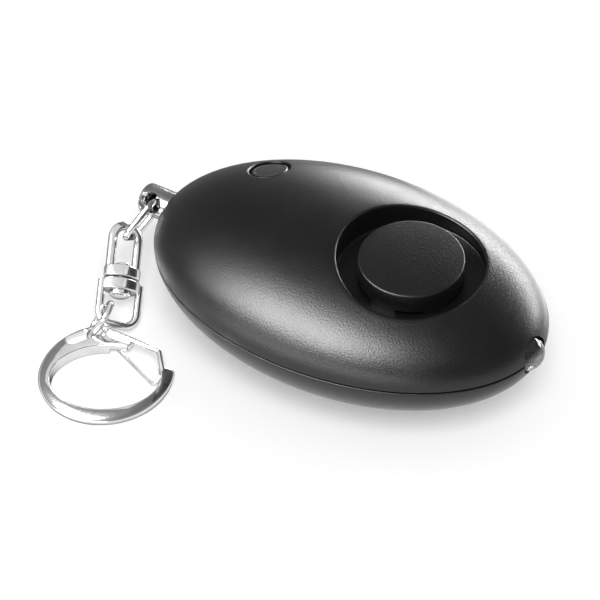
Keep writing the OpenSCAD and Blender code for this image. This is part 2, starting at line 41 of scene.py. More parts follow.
# camera, as the photograph was taken
view = {
    "eye": (198.8, -273.85, 333.61),
    "right": (0.83021284, 0.55355426, -0.0657595),
    "up": (-0.34483745, 0.60267138, 0.71963487),
    "forward": (-0.43798832, 0.57477377, -0.69123176),
    "lens": 174.48, "sensor": 36, "nearest": 0.02, "farthest": 20}
lensData = bpy.data.cameras.new("camera")
lensData.lens = view["lens"]
lensData.sensor_width = view["sensor"]
lensData.clip_start = view["nearest"]
lensData.clip_end = view["farthest"]
camera = bpy.data.objects.new("camera", lensData)
bpy.context.scene.collection.objects.link(camera)
turned = Matrix((view["right"], view["up"], [-c for c in view["forward"]])).transposed()
camera.matrix_world = Matrix.Translation(Vector(view["eye"]) * mm) @ turned.to_4x4()
bpy.context.scene.camera = camera
bpy.context.scene.view_settings.view_transform = "Standard"


# one socket of a shader, so that its maths reads as maths
class Wire:
    def __init__(self, paint, socket):
        self.paint = paint
        self.socket = socket

    def maths(self, operation, first, second):
        return self.paint.add("Math", {"operation": operation}, {0: first, 1: second})

    def __add__(self, other):
        return self.maths("ADD", self, other)

    def __radd__(self, other):
        return self.maths("ADD", other, self)

    def __sub__(self, other):
        return self.maths("SUBTRACT", self, other)

    def __rsub__(self, other):
        return self.maths("SUBTRACT", other, self)

    def __mul__(self, other):
        return self.maths("MULTIPLY", self, other)

    def __rmul__(self, other):
        return self.maths("MULTIPLY", other, self)

    def __pow__(self, other):
        return self.maths("POWER", self, other)


# one material's node tree
class Paint:
    def __init__(self, tree):
        self.tree = tree
        tree.nodes.clear()

    def add(self, kind, settings, sockets, output=0):
        node = self.tree.nodes.new("ShaderNode" + kind)
        for name, value in settings.items():
            if name == "stops":
                ramp = node.color_ramp
                while len(ramp.elements) < len(value):
                    ramp.elements.new(0.5)
                for element, (place, tone) in zip(ramp.elements, value):
                    element.position = place
                    element.color = tone if len(tone) == 4 else (*tone, 1)
            else:
                setattr(node, name, value)
        for name, value in sockets.items():
            if isinstance(value, Wire):
                self.tree.links.new(value.socket, node.inputs[name])
            else:
                node.inputs[name].default_value = value
        return Wire(self, node.outputs[output]) if len(node.outputs) else None

    def close(self, shader):
        self.add("OutputMaterial", {}, {"Surface": shader})

    def place(self):
        return self.add("TexCoord", {}, {}, "Object")

    def ways(self, letters):
        return [self.add("SeparateXYZ", {}, {"Vector": self.place()}, letter) for letter in letters]

    def noise(self, scale, detail, rough=0.5):
        return self.add("TexNoise", {}, {
            "Vector": self.place(), "Scale": scale, "Detail": detail, "Roughness": rough})

    def blend(self, value, dark, light, low=0.35, high=0.65):
        return self.add("ValToRGB", {"stops": [(low, dark), (high, light)]}, {"Fac": value})

    def mix(self, share, first, second):
        return self.add("Mix", {"data_type": "RGBA"}, {0: share, 6: first, 7: second}, output=2)

    def bump(self, height, look):
        return self.add("Bump", {}, {
            "Height": height, "Strength": look["bump"], "Distance": look["depth"]})

    # which kind of ray looks
    def rays(self):
        kinds = ("Is Camera Ray", "Is Glossy Ray", "Is Transmission Ray")
        return [self.add("LightPath", {}, {}, kind) for kind in kinds]


def newPaint(name):
    material = bpy.data.materials.new(name)
    material.use_nodes = True
    return material, Paint(material.node_tree)


def grey(level):
    return (level, level, level, 1)


# moulded black plastic: fine spark-eroded grain, faint cloudiness, slight handling gloss
def mouldedBlack(name, look):
    material, paint = newPaint(name)
    cloud = paint.noise(look["cloudScale"], detail=3)
    grain = paint.noise(look["grainScale"], detail=2, rough=0.6)
    rub = paint.noise(look["rubScale"], detail=4, rough=0.55)
    tone = paint.blend(cloud, look["dark"], look["light"], low=0.3, high=0.72)
    rough = (look["rough"] + (cloud - 0.5) * look["cloudRough"] + (rub - 0.5) * look["rubRough"]
             + (grain - 0.5) * look["grainRough"])
    paint.close(paint.add("BsdfPrincipled", {}, {
        "Base Color": tone, "Roughness": rough, "Normal": paint.bump(grain, look),
        "Specular IOR Level": look["gloss"], "IOR": look["ior"]}))
    return material


# one inside a hole across a bar that lies along x, nought elsewhere: the mask for painted shade in the hole
def boreShadeMask(paint, boreShade):
    x, y, z = paint.ways("XYZ")
    reach = (y * y + (z - boreShade["height"]) ** 2) ** 0.5
    near = paint.add("Math", {"operation": "COMPARE"}, {0: x, 1: boreShade["at"], 2: boreShade["half"]})
    return near * paint.add("Math", {"operation": "LESS_THAN"}, {0: reach, 1: boreShade["radius"]})


# bright plating: soft ripple of the casting under it, hairline wear, a share of haze, and painted shade
# inside a cross hole where one is given
def plating(name, look):
    material, paint = newPaint(name)
    ripple = paint.noise(look["rippleScale"], detail=2)
    hair = paint.noise(look["hairScale"], detail=3, rough=0.7)
    tone = paint.blend(ripple, look["dark"], look["light"])
    if "boreShade" in look:  # painted shade: the tone is darkened inside the cross hole
        boreShade = boreShadeMask(paint, look["boreShade"])
        tone = paint.mix(boreShade, tone, grey(look["boreShade"]["tone"]))
    bump = paint.bump(ripple, look)

    def metal(rough):
        return paint.add("BsdfPrincipled", {}, {
            "Base Color": tone, "Metallic": 1.0, "Roughness": rough, "Normal": bump,
            "Specular Tint": grey(look["edge"])})

    bright = metal(look["rough"] + (hair ** 3) * look["wear"])
    haze = metal(look["hazeRough"])
    share = look["haze"] + (ripple - 0.5) * look["hazeRipple"]
    paint.close(paint.add("MixShader", {}, {0: share, 1: bright, 2: haze}))
    return material


# plain inner parts: a tone with speckle and a roughness
def innerPart(name, dark, light, rough, metal=0.0, scale=900, speckRough=0.1):
    material, paint = newPaint(name)
    speck = paint.noise(scale, detail=3)
    paint.close(paint.add("BsdfPrincipled", {}, {
        "Base Color": paint.blend(speck, dark, light), "Metallic": metal,
        "Roughness": rough + (speck - 0.5) * speckRough}))
    return material


# clear resin, a little cloudy, most of all low on its front
def clearResin(name, look):
    material, paint = newPaint(name)
    swirl = paint.noise(look["swirlScale"], detail=2)
    x, z = paint.ways("XZ")
    front = (x - look["x"]) * look["forward"] - (z - look["z"]) * look["down"]
    cloud = paint.add("MapRange", {"interpolation_type": "SMOOTHSTEP"}, {
        "Value": front, "From Min": look["from"], "From Max": look["to"], "To Max": look["cloud"]})
    clear = paint.add("BsdfPrincipled", {}, {
        "Base Color": look["tint"], "Roughness": look["rough"] + swirl * look["swirlRough"],
        "IOR": look["ior"], "Transmission Weight": 1.0})
    milk = paint.add("BsdfDiffuse", {}, {"Color": look["milk"]})
    paint.close(paint.add("MixShader", {}, {0: swirl * (look["haze"] + cloud), 1: clear, 2: milk}))
    return material


mouldLook = {"cloudRough": 0.07, "rubRough": 0.06, "grainRough": 0.08, "bump": 1.0, "gloss": 0.5, "ior": 1.5}
blackCase = mouldedBlack("blackCase", {
    **mouldLook, "dark": (0.005, 0.0051, 0.0054), "light": (0.0066, 0.0067, 0.007), "rough": 0.33,
    "cloudScale": 160, "rubScale": 600, "grainScale": 3800, "depth": 0.00004})
blackCap = mouldedBlack("blackCap", {
    **mouldLook, "dark": (0.0042, 0.0043, 0.0045), "light": (0.0058, 0.0059, 0.0062), "rough": 0.38,
    "cloudScale": 200, "rubScale": 700, "grainScale": 3600, "depth": 0.00005})
plateLook = {
    "dark": (0.68, 0.685, 0.69), "light": (0.82, 0.825, 0.83), "edge": 0.05, "rippleScale": 420,
    "hairScale": 3500, "rough": 0.08, "wear": 0.2, "haze": 0.12, "hazeRough": 0.42, "hazeRipple": 0.1,
    "bump": 0.12, "depth": 0.00004}
brightPlate = plating("brightPlate", plateLook)
castPlate = plating("castPlate", {**plateLook, "dark": (0.74, 0.745, 0.75), "haze": 0.18})
# painted shade: a dark tone inside the pin's cross hole
pinBoreShade = {"at": -0.03757, "half": 0.0019, "height": 0.0136, "radius": 0.0019, "tone": 0.16}
pinPlate = plating("pinPlate", {**plateLook, "boreShade": pinBoreShade})
zincScrew = innerPart("zincScrew", (0.5, 0.51, 0.53), (0.66, 0.67, 0.69), 0.3, 1.0)
brassSheet = innerPart("brassSheet", (0.6, 0.42, 0.16), (0.78, 0.6, 0.28), 0.28, 1.0)
cellSteel = innerPart("cellSteel", (0.6, 0.61, 0.62), (0.72, 0.73, 0.74), 0.25, 1.0)
whiteCeramic = innerPart("whiteCeramic", (0.74, 0.72, 0.66), (0.86, 0.84, 0.78), 0.5)
redWire = innerPart("redWire", (0.42, 0.03, 0.025), (0.55, 0.05, 0.04), 0.4)
greenBoard = innerPart("greenBoard", (0.015, 0.13, 0.05), (0.03, 0.2, 0.09), 0.35)
blackResin = innerPart("blackResin", (0.012, 0.012, 0.013), (0.025, 0.025, 0.027), 0.5)
greyFerrite = innerPart("greyFerrite", (0.05, 0.05, 0.055), (0.09, 0.09, 0.095), 0.6)
copperWire = innerPart("copperWire", (0.45, 0.18, 0.07), (0.68, 0.3, 0.13), 0.3, 1.0, 4000)
greyNylon = innerPart("greyNylon", (0.15, 0.15, 0.16), (0.22, 0.22, 0.23), 0.5)
creamNylon = innerPart("creamNylon", (0.7, 0.67, 0.57), (0.8, 0.77, 0.68), 0.5)
dullTin = innerPart("dullTin", (0.12, 0.12, 0.125), (0.62, 0.62, 0.625), 0.3, 1.0, 1900)
blackRubber = innerPart("blackRubber", (0.012, 0.012, 0.012), (0.022, 0.022, 0.022), 0.7)
clearLens = clearResin("clearResin", {
    "tint": (0.97, 0.98, 0.985, 1), "milk": (0.7, 0.71, 0.72, 1), "ior": 1.49, "rough": 0.02,
    "swirlScale": 1500, "swirlRough": 0.05, "x": 0.0332, "z": 0.0136, "forward": 0.75, "down": 0.41,
    "from": 0.0006, "to": 0.0021, "cloud": 0.6, "haze": 0.05})
print("finishes ready")

weld = {"cut": 0.004, "spin": 0.0005, "loft": 0.002}  # points nearer than this become one


# finishes a bmesh in millimetres as a named piece that rides on a body
def finishPiece(name, bm, body, material, nodes=(), sharp=40):
    bmesh.ops.scale(bm, vec=(mm, mm, mm), verts=bm.verts)
    mesh = bpy.data.meshes.new(name)
    bm.to_mesh(mesh)
    bm.free()
    mesh.shade_smooth()
    mesh.set_sharp_from_angle(angle=math.radians(sharp))
    piece = bpy.data.objects.new(name, mesh)
    bpy.context.scene.collection.objects.link(piece)
    mesh.materials.append(material)
    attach(piece, body)
    if nodes:
        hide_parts(*nodes)
    print(name, len(mesh.polygons), "faces")
    return piece


def vertsOf(geom):
    return [part for part in geom if isinstance(part, bmesh.types.BMVert)]


def edgesOf(geom):
    return [part for part in geom if isinstance(part, bmesh.types.BMEdge)]


# even shares from nought to one, and the same as angles of a quarter turn
def shares(steps, first=0):
    return [step / steps for step in range(first, steps + 1)]


def quarter(steps, first=0):
    return [share * math.pi / 2 for share in shares(steps, first)]


# loft through rings of points: each vertex knows its own number, and each ring places it
def loft(count, rings):
    bm = bmesh.new()
    layer = bm.verts.layers.float.new("number")
    bmesh.ops.create_circle(bm, segments=count, radius=1)
    for number, vert in enumerate(bm.verts):
        vert[layer] = number
        vert.co = rings[0](number)
    first = bm.edges[:]
    last = first
    for place in rings[1:]:
        grown = bmesh.ops.extrude_edge_only(bm, edges=last)["geom"]
        for vert in vertsOf(grown):
            vert.co = place(vert[layer])
        last = edgesOf(grown)
    return bm, first, last


def bridgeEnds(bm, first, last):
    bmesh.ops.bridge_loops(bm, edges=first + last)
    bmesh.ops.recalc_face_normals(bm, faces=bm.faces)
    return bm


def capEnds(bm, first, last):
    bmesh.ops.edgeloop_fill(bm, edges=first)
    bmesh.ops.edgeloop_fill(bm, edges=last)
    bmesh.ops.remove_doubles(bm, verts=bm.verts, dist=weld["loft"])
    bmesh.ops.recalc_face_normals(bm, faces=bm.faces)
    return bm


# cuts a bmesh with others and returns the result as a new bmesh
def cutAway(bm, cutters):
    def asObject(shape, name):
        mesh = bpy.data.meshes.new(name)
        shape.to_mesh(mesh)
        shape.free()
        holder = bpy.data.objects.new(name, mesh)
        bpy.context.scene.collection.objects.link(holder)
        return holder

    block = asObject(bm, "block")
    knives = [asObject(cutter, "knife") for cutter in cutters]
    for knife in knives:
        cut = block.modifiers.new("cut", "BOOLEAN")
        cut.operation = "DIFFERENCE"
        cut.solver = "EXACT"
        cut.object = knife
    bpy.context.view_layer.update()
    done = block.evaluated_get(bpy.context.evaluated_depsgraph_get())
    result = bmesh.new()
    result.from_mesh(done.to_mesh())
    done.to_mesh_clear()
    for holder in [block] + knives:
        mesh = holder.data
        bpy.data.objects.remove(holder)
        bpy.data.meshes.remove(mesh)
    bmesh.ops.remove_doubles(result, verts=result.verts, dist=weld["cut"])
    return result


# softens the sharp edges that a test picks out
def softenEdges(bm, test, width, segments=3, sharp=0.5):
    picked = [e for e in bm.edges if len(e.link_faces) == 2 and e.calc_face_angle(0) > sharp and test(e)]
    bmesh.ops.bevel(bm, geom=picked, offset=width, offset_type="OFFSET", affect="EDGES", segments=segments,
                    profile=0.5, material=-1, clamp_overlap=True)
    return len(picked)


def roundBar(start, end, radius, sides=64):
    bm = bmesh.new()
    start = Vector(start)
    way = Vector(end) - start
    turn = way.to_track_quat("Z", "Y").to_matrix().to_4x4()
    bmesh.ops.create_cone(bm, cap_ends=True, segments=sides, radius1=radius, radius2=radius,
                          depth=way.length, matrix=Matrix.Translation(start + way / 2) @ turn)
    return bm


# full turn of a profile of radii and heights, about x unless told otherwise
def spinProfile(points, origin, steps, axis=(1, 0, 0), side=(0, 0, 1)):
    bm = bmesh.new()
    axis = Vector(axis).normalized()
    side = Vector(side).normalized()
    verts = [bm.verts.new(Vector(origin) + side * r + axis * h) for r, h in points]
    edges = [bm.edges.new(pair) for pair in zip(verts, verts[1:])]
    bmesh.ops.spin(bm, geom=verts + edges, cent=Vector(origin), axis=axis, angle=math.tau, steps=steps,
                   use_merge=True, use_duplicate=False)
    bmesh.ops.remove_doubles(bm, verts=bm.verts, dist=weld["spin"])
    bmesh.ops.recalc_face_normals(bm, faces=bm.faces)
    return bm


# round wire through corner points, its corners bent to their radii
def bendWire(points, bends, radius, closed=False, sides=24, degreesPerStep=9, least=0.001):
    points = [Vector(p) for p in points]
    count = len(points)
    start = (points[0] + points[-1]) / 2 if closed else points[0]
    corners = list(range(count)) if closed else list(range(1, count - 1))
    heading = ((points[0] if closed else points[1]) - start).normalized()
    bm = bmesh.new()
    turn = heading.to_track_quat("Z", "Y").to_matrix().to_4x4()
    bmesh.ops.create_circle(bm, cap_ends=not closed, segments=sides, radius=radius,
                            matrix=Matrix.Translation(start) @ turn)
    ring = bm.edges[:]
    at = start

    def goOn(ring, step):
        grown = bmesh.ops.extrude_edge_only(bm, edges=ring)["geom"]
        bmesh.ops.translate(bm, verts=vertsOf(grown), vec=step)
        return edgesOf(grown)

    for place, number in enumerate(corners):
        corner = points[number]
        onward = (points[(number + 1) % count] - corner).normalized()
        angle = heading.angle(onward)
        bend = bends[place % len(bends)]
        back = bend * math.tan(angle / 2)
        step = corner - heading * back - at
        if step.length > least:
            ring = goOn(ring, step)
        side = (onward - heading * onward.dot(heading)).normalized()
        at = corner - heading * back
        geom = ring + list({v for e in ring for v in e.verts})
        steps = max(3, round(math.degrees(angle) / degreesPerStep))
        out = bmesh.ops.spin(bm, geom=geom, cent=at + side * bend, axis=heading.cross(side), angle=angle,
                             steps=steps, use_duplicate=False)
        ring = edgesOf(out["geom_last"])
        at = corner + onward * back
        heading = onward
    end = start if closed else points[-1]
    if (end - at).length > least:
        ring = goOn(ring, end - at)
    if not closed:
        bmesh.ops.edgeloop_fill(bm, edges=ring)
    bmesh.ops.remove_doubles(bm, verts=bm.verts, dist=weld["loft"])
    bmesh.ops.recalc_face_normals(bm, faces=bm.faces)
    return bm


# the case halves share the egg's sizes
egg = {"long": 35, "wide": 21.795, "top": 12.2, "bottom": 14.3, "seam": 13.6, "gap": 0.3, "wall": 1.8,
       "lip": 1.0, "lipClear": 0.1, "lipHeight": 1.4, "lipRoof": 0.3, "innerDrop": 0.4, "edge": 0.11,
       "turns": 176, "topRings": 32, "bottomRings": 36, "innerRings": 12, "near": 0.006}
siren = {"x": 12.6, "tilt": 4, "face": 24.4, "well": 12.05, "depth": 4.6, "floor": 1.2, "skirt": 1.1,
         "port": 5.0, "rimNear": 0.55, "rimFar": 0.3, "nearIn": 0.7, "rimTowards": -54, "foot": 0.35,
         "wallRings": 4, "rimRings": 7, "probe": 0.5}
button = {"x": -19.8, "y": 8.15, "radius": 3.12, "gap": 0.26, "below": 0.34, "edge": 0.42, "dish": 0.06,
          "root": 17.4, "flange": 0.9, "flangeLow": 0.3, "flangeTop": 0.4, "stem": 1.4, "turns": 72,
          "dishRings": (0.85, 0.7, 0.5, 0.3, 0.12)}
buttonHole = {"mouth": 0.38, "mouthTurn": 76, "mouthRings": 7, "flare": 0.6, "flareUp": 1.2, "fromSeam": 2,
              "turns": 96}
lamp = {"radius": 2.92, "gap": 0.16, "centre": 33.13, "back": 29.2, "flange": 0.4, "flangeThick": 1,
        "flangeEdge": 0.1, "hollow": 2}
pin = {"radius": 2.65, "fit": 0.05, "end": -39.9, "edge": 0.55, "flat": 0.6, "collar": 2.3, "socket": -28,
       "tip": -24.2, "tipRadius": 1.5, "tipLong": 4.6, "taper": 1.2, "point": 0.9}
pinHole = {"at": -37.57, "radius": 1.35, "lean": 35, "mouth": 1.3, "above": 0.4, "neck": 0.25,
           "neckDeep": 0.75, "deep": 1.2, "reach": 4}
outside = 60  # well clear of the part
seamMid = Vector((0, 0, egg["seam"]))
tilt = math.radians(siren["tilt"])
sirenAxis = Vector((math.sin(tilt), 0, math.cos(tilt)))
sirenSide = Vector((sirenAxis.z, 0, -sirenAxis.x))
sirenMid = Vector((siren["x"], 0, siren["face"]))


def inSiren(r, turn, h):
    return sirenMid + sirenSide * (r * math.cos(turn)) + Vector((0, r * math.sin(turn), 0)) + sirenAxis * h


# height along the siren's axis where the egg lies, at a radius and turn
def eggOverSiren(r, turn, inset=0.0):
    a, b, c = egg["long"] - inset, egg["wide"] - inset, egg["top"] - inset
    foot = inSiren(r, turn, 0) - seamMid
    p = Vector((foot.x / a, foot.y / b, foot.z / c))
    d = Vector((sirenAxis.x / a, 0, sirenAxis.z / c))
    half = p.dot(d) / d.dot(d)
    return -half + math.sqrt(half * half - (p.dot(p) - 1) / d.dot(d))


# point on the egg, from one point in plan towards the seam, evenly spread
def towardsSeam(start, middle, share, height, inset, up, limit):
    a, b = egg["long"] - inset, egg["wide"] - inset
    centre = Vector((middle / a, 0))
    first = Vector((start.x / a, start.y / b))
    way = first - centre
    along = centre.dot(way)
    k = -along + math.sqrt(along ** 2 - way.dot(way) * (centre.dot(centre) - limit ** 2))
    last = centre + way * (k / way.dot(way))
    p = first.lerp(last, share)
    rise = (height - inset) * math.sqrt(max(0, 1 - p.dot(p)))
    return Vector((p.x * a, p.y * b, egg["seam"] + up * rise)), math.atan2(last.y, last.x)


def outline(angle, inset, z):
    return Vector(((egg["long"] - inset) * math.cos(angle), (egg["wide"] - inset) * math.sin(angle), z))


# how far in from the seam's plane an ellipsoid of this height is cut
def seamLimit(cut, height):
    return math.sqrt(1 - (cut / height) ** 2)


# rings lie closer together near the seam
def easeOut(share, power=1.8):
    return 1 - (1 - share) ** power


def makeTopShell():
    turns = egg["turns"]
    tau = math.tau / turns
    well, deep, foot = siren["well"], siren["depth"], siren["foot"]
    edge, probe = egg["edge"], siren["probe"]
    rims = {}
    for number in range(turns):
        turn = number * tau
        towards = 0.5 + 0.5 * math.cos(turn - math.radians(siren["rimTowards"]))
        rim = siren["rimFar"] + (siren["rimNear"] - siren["rimFar"]) * towards
        r = well - siren["nearIn"] * towards
        slope = (eggOverSiren(r + probe, turn) - eggOverSiren(r, turn)) / probe
        middle = eggOverSiren(r, turn) + slope * rim - rim * math.sqrt(1 + slope * slope)
        rims[number] = (turn, r, rim, middle, math.atan2(1, -slope))
    low = egg["seam"] + egg["gap"]
    upperLimit = seamLimit(egg["gap"] + edge, egg["top"])
    innerLimit = seamLimit(egg["lipHeight"] + egg["lipRoof"], egg["top"] - egg["wall"])

    def rimPoint(number, share):
        turn, r, rim, middle, last = rims[number]
        a = math.pi + (last - math.pi) * share
        return inSiren(r + rim + rim * math.cos(a), turn, middle + rim * math.sin(a))

    def flank(number, share):
        return towardsSeam(rimPoint(number, 1), siren["x"], share, egg["top"], 0, 1, upperLimit)

    def atSeam(inset, z):
        return lambda n: outline(flank(n, 1)[1], inset, z)

    def inside(number, share):
        r = well + siren["skirt"]
        turn = rims[number][0]
        start = inSiren(r, turn, eggOverSiren(r, turn, egg["wall"]))
        return towardsSeam(start, siren["x"], 1 - share, egg["top"], egg["wall"], 1, innerLimit)[0]

    def level(r, h):
        return lambda n: inSiren(r, n * tau, h)

    under = -deep - siren["floor"]
    rings = [level(siren["port"], -deep), level(well - foot, -deep)]
    rings += [level(well - foot + foot * math.sin(a), -deep + foot - foot * math.cos(a))
              for a in quarter(3, 1)]
    wallFoot = level(well, foot - deep)
    rings += [lambda n, s=s: rimPoint(n, 0).lerp(wallFoot(n), 1 - s)
              for s in shares(siren["wallRings"], 1)[:-1]]
    rings += [lambda n, s=s: rimPoint(n, s) for s in shares(siren["rimRings"])]
    rings += [lambda n, s=easeOut(s): flank(n, s)[0] for s in shares(egg["topRings"], 1)]
    rings += [atSeam(edge * (1 - math.cos(a)), low + edge * (1 - math.sin(a))) for a in quarter(4, 1)]
    rings += [atSeam(egg["lip"] - egg["lipClear"], z) for z in (low, low + egg["lipHeight"])]
    rings += [lambda n, s=s: inside(n, s) for s in shares(egg["innerRings"])]
    rings += [level(well + siren["skirt"], under), level(siren["port"], under)]
    return bridgeEnds(*loft(turns, rings))


# the holes that both halves share, on the seam
def seamCutters():
    def bar(start, end, radius):
        return roundBar((start, 0, egg["seam"]), (end, 0, egg["seam"]), radius, sides=72)

    return [bar(lamp["back"] - lamp["hollow"], outside, lamp["radius"] + lamp["gap"]),
            bar(-outside, pin["socket"], pin["radius"] + pin["fit"])]


def onEgg(point, height):
    x, y, z = point.x / egg["long"], point.y / egg["wide"], (point.z - egg["seam"]) / height
    return abs(x * x + y * y + z * z - 1) < egg["near"]


# point at a reach and turn round the button's axis, on the egg drawn in by an inset
def overButton(reach, turn, inset=0.0):
    x, y = button["x"] + reach * math.cos(turn), button["y"] + reach * math.sin(turn)
    flat = 1 - (x / (egg["long"] - inset)) ** 2 - (y / (egg["wide"] - inset)) ** 2
    return Vector((x, y, egg["seam"] + (egg["top"] - inset) * math.sqrt(flat)))


# knife for the button's hole, its mouth rounded along the egg
def buttonKnife():
    turns, mouth = buttonHole["turns"], buttonHole["mouth"]
    reach = button["radius"] + button["gap"]

    def at(r, up):
        return lambda n: overButton(r, n * math.tau / turns) + Vector((0, 0, up))

    def bottom(n):
        return Vector((*overButton(reach, n * math.tau / turns).xy, egg["seam"] + buttonHole["fromSeam"]))

    rings = [bottom]
    for share in shares(buttonHole["mouthRings"]):
        a = math.radians(share * buttonHole["mouthTurn"])
        rings.append(at(reach + mouth - mouth * math.cos(a), mouth * math.sin(a) - mouth))
    rings.append(at(reach + mouth + buttonHole["flare"], buttonHole["flareUp"]))
    return capEnds(*loft(turns, rings))


topShell = cutAway(makeTopShell(), seamCutters() + [buttonKnife()])
finishPiece("topShell", topShell, "case", blackCase, ["top_shell"], sharp=35)

cover = {"half": 12, "straight": 6, "ledge": 1.3, "deep": 0.95, "chamfer": 0.12, "first": 0.004,
         "step": 0.2, "least": 1e-6}
screws = {"front": (24.99, 8.0006), "rear": (-13.02, 13.9956), "pocket": 2.2, "from": -5, "seat": 8.0,
          "edge": 0.14, "near": 0.03}


# point on the battery cover's long outline
def coverPoint(turn, inset):
    way = Vector((math.cos(turn), math.sin(turn)))
    r = cover["half"] - inset
    if abs(way.y) > cover["least"] and abs(way.x / way.y) * r <= cover["straight"]:
        return way * (r / abs(way.y))
    centre = Vector((math.copysign(cover["straight"], way.x), 0))
    along = way.dot(centre)
    return way * (along + math.sqrt(along * along - centre.dot(centre) + r * r))


def makeBottomShell():
    turns = egg["turns"]
    tau = math.tau / turns
    height, edge, seam, lip = egg["bottom"], egg["edge"], egg["seam"], egg["lip"]
    limit = seamLimit(edge, height)
    innerLimit = seamLimit(egg["innerDrop"], height - egg["wall"])

    def under(inset, deep):
        def spot(n):
            p = coverPoint(n * tau, inset)
            a, b, c = egg["long"] - deep, egg["wide"] - deep, height - deep
            return Vector((p.x, p.y, seam - c * math.sqrt(1 - (p.x / a) ** 2 - (p.y / b) ** 2)))
        return spot

    def flank(n, share):
        return towardsSeam(under(0, 0)(n), 0, share, height, 0, -1, limit)

    def atSeam(inset, z):
        return lambda n: outline(flank(n, 1)[1], inset, z)

    def inside(n, share):
        start = under(cover["ledge"], egg["wall"])(n)
        return towardsSeam(start, 0, 1 - share, height, egg["wall"], -1, innerLimit)[0]

    def spread(share):
        return cover["first"] + (1 - cover["first"]) * easeOut(share)

    rings = [under(cover["ledge"], egg["wall"] - cover["step"]), under(cover["ledge"], cover["deep"]),
             under(0, cover["deep"]), under(0, cover["chamfer"]), under(-cover["chamfer"], 0)]
    rings += [lambda n, s=spread(s): flank(n, s)[0] for s in shares(egg["bottomRings"], 1)]
    rings += [atSeam(edge * (1 - math.cos(a)), seam - edge * (1 - math.sin(a))) for a in quarter(4, 1)]
    top = seam + egg["lipHeight"]
    rings += [atSeam(inset, z) for inset, z in ((lip, seam), (lip, top), (egg["wall"], top))]
    rings += [lambda n, s=s: inside(n, s) for s in shares(egg["innerRings"])]
    return bridgeEnds(*loft(turns, rings))


screwPlaces = [(x, y * s) for x, y in (screws["front"], screws["rear"]) for s in (-1, 1)]
screwKnives = [roundBar((x, y, screws["from"]), (x, y, screws["seat"]), screws["pocket"], sides=48)
               for x, y in screwPlaces]
bottomShell = cutAway(makeBottomShell(), seamCutters() + screwKnives)


def onScrewRim(edge):
    def near(point, x, y):
        off = abs(math.hypot(point.x - x, point.y - y) - screws["pocket"])
        return off < screws["near"] and onEgg(point, egg["bottom"])

    return any(all(near(v.co, x, y) for v in edge.verts) for x, y in screwPlaces)


print("screw rims", softenEdges(bottomShell, onScrewRim, screws["edge"]), "edges")
finishPiece("bottomShell", bottomShell, "case", blackCase, ["bottom_shell"], sharp=35)

cap = {"radius": 8.4, "edge": 0.28, "crown": 0.44, "lift": 0.2, "wall": 1.4, "band": 1.7, "rings": 12}
capSlots = {"count": 6, "width": 4.4, "height": 0.9, "below": 0.4, "inset": 0.5, "deep": 5}


def makeSirenCap():
    r, deep, edge, crown, wall = cap["radius"], siren["depth"], cap["edge"], cap["crown"], cap["wall"]
    low = cap["lift"] - crown
    profile = [((r - edge) * s, cap["lift"] - crown * s ** 2) for s in shares(cap["rings"])[:-1]]
    profile += [(r - edge + edge * math.sin(a), low - edge + edge * math.cos(a)) for a in quarter(6)]
    profile += [(r, -deep + cap["band"]), (r, -deep), (r - wall, -deep), (r - wall, -wall), (0, -wall)]
    return spinProfile(profile, sirenMid, 128, axis=sirenAxis, side=sirenSide)


def capKnife(number):
    bm = bmesh.new()
    tall = capSlots["height"] + capSlots["below"]
    spot = (cap["radius"] - capSlots["inset"], 0, -siren["depth"] + tall / 2 - capSlots["below"])
    size = Matrix.Diagonal((capSlots["deep"], capSlots["width"], tall, 1))
    bmesh.ops.create_cube(bm, size=1, matrix=Matrix.Translation(spot) @ size)
    turn = Matrix.Rotation(number * math.tau / capSlots["count"], 4, "Z")
    seat = Matrix((sirenSide, Vector((0, 1, 0)), sirenAxis)).transposed().to_4x4()
    bmesh.ops.transform(bm, matrix=Matrix.Translation(sirenMid) @ seat @ turn, verts=bm.verts)
    return bm


sirenCap = cutAway(makeSirenCap(), [capKnife(n) for n in range(capSlots["count"])])
finishPiece("sirenCap", sirenCap, "case", blackCap, ["siren_cap"], sharp=35)


def makeTorchButton():
    turns = button["turns"]
    r, edge, dish = button["radius"], button["edge"], button["dish"]

    def top(reach, drop):
        return lambda n: overButton(reach, n * math.tau / turns, button["below"]) - Vector((0, 0, drop))

    def level(reach, up):
        return lambda n: Vector((*overButton(reach, n * math.tau / turns).xy, button["root"] + up))

    flange, low, high = r + button["flange"], -button["flangeLow"], button["flangeTop"]
    rings = [level(button["stem"], low), level(flange, low), level(flange, high), level(r, high)]
    rings += [top(r - edge + edge * math.cos(a), edge - edge * math.sin(a)) for a in quarter(6)]
    rings += [top(r * s, dish * (1 - s * s)) for s in button["dishRings"]]
    return capEnds(*loft(turns, rings))


finishPiece("torchButton", makeTorchButton(), "button", blackCase, ["torch_button"], sharp=35)

lampCup = {"mouth": 1.3, "throat": 0.6, "from": 31.2, "to": 32.5, "floor": 0.3, "lip": 0.15, "wall": 0.3,
           "under": 0.2, "up": 0.3}


# clear lamp with a flange behind the wall
def makeLens():
    r, back, edge = lamp["radius"], lamp["back"], lamp["flangeEdge"]
    wide, rear = r + lamp["flange"], back - lamp["flangeThick"]
    profile = [(0, rear), (wide - edge, rear), (wide, rear + edge), (wide, back - edge),
               (wide - edge, back), (r, back), (r, lamp["centre"])]
    profile += [(r * math.cos(a), lamp["centre"] + r * math.sin(a)) for a in quarter(18, 1)[:-1]]
    profile.append((0, lamp["centre"] + r))
    return spinProfile(profile, seamMid, 72)


# the cup that shows through the lamp
def makeCup():
    floor, under = lampCup["from"] + lampCup["floor"], lampCup["from"] - lampCup["under"]
    mouth, throat = lampCup["mouth"], lampCup["throat"]
    profile = [(0, floor), (throat, floor), (mouth, lampCup["to"]),
               (mouth + lampCup["lip"], lampCup["to"]), (throat + lampCup["wall"], under), (0, under)]
    return spinProfile(profile, seamMid + Vector((0, 0, lampCup["up"])), 40)


